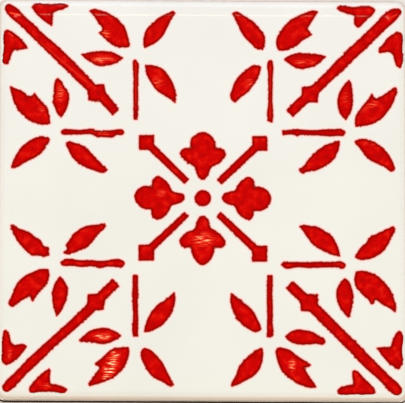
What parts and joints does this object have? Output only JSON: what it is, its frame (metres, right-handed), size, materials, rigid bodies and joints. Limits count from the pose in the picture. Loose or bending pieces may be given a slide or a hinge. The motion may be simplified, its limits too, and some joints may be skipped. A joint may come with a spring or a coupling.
{
  "type": "azulejo tile",
  "caption": "Square glazed ceramic wall tile with a cushion edge, cream ground and a raised red stencilled ornament of leaves, bars and fleurs.",
  "frame": {"origin": "middle of the flat back, where the tile lies on its bed", "axes": "+Z out of the glazed face, +Y towards the top of the pattern, +X to the right of the pattern seen from the front"},
  "size_m": [0.108, 0.108, 0.0063],
  "materials": {
    "cream_glaze": "glossy opaque cream-white glaze",
    "red_enamel": "glossy raised red enamel with darker rims and brush streaks",
    "biscuit": "matt unglazed buff clay"
  },
  "bodies": {
    "root": {"tile": "cream_glaze"}
  },
  "joints": []
}
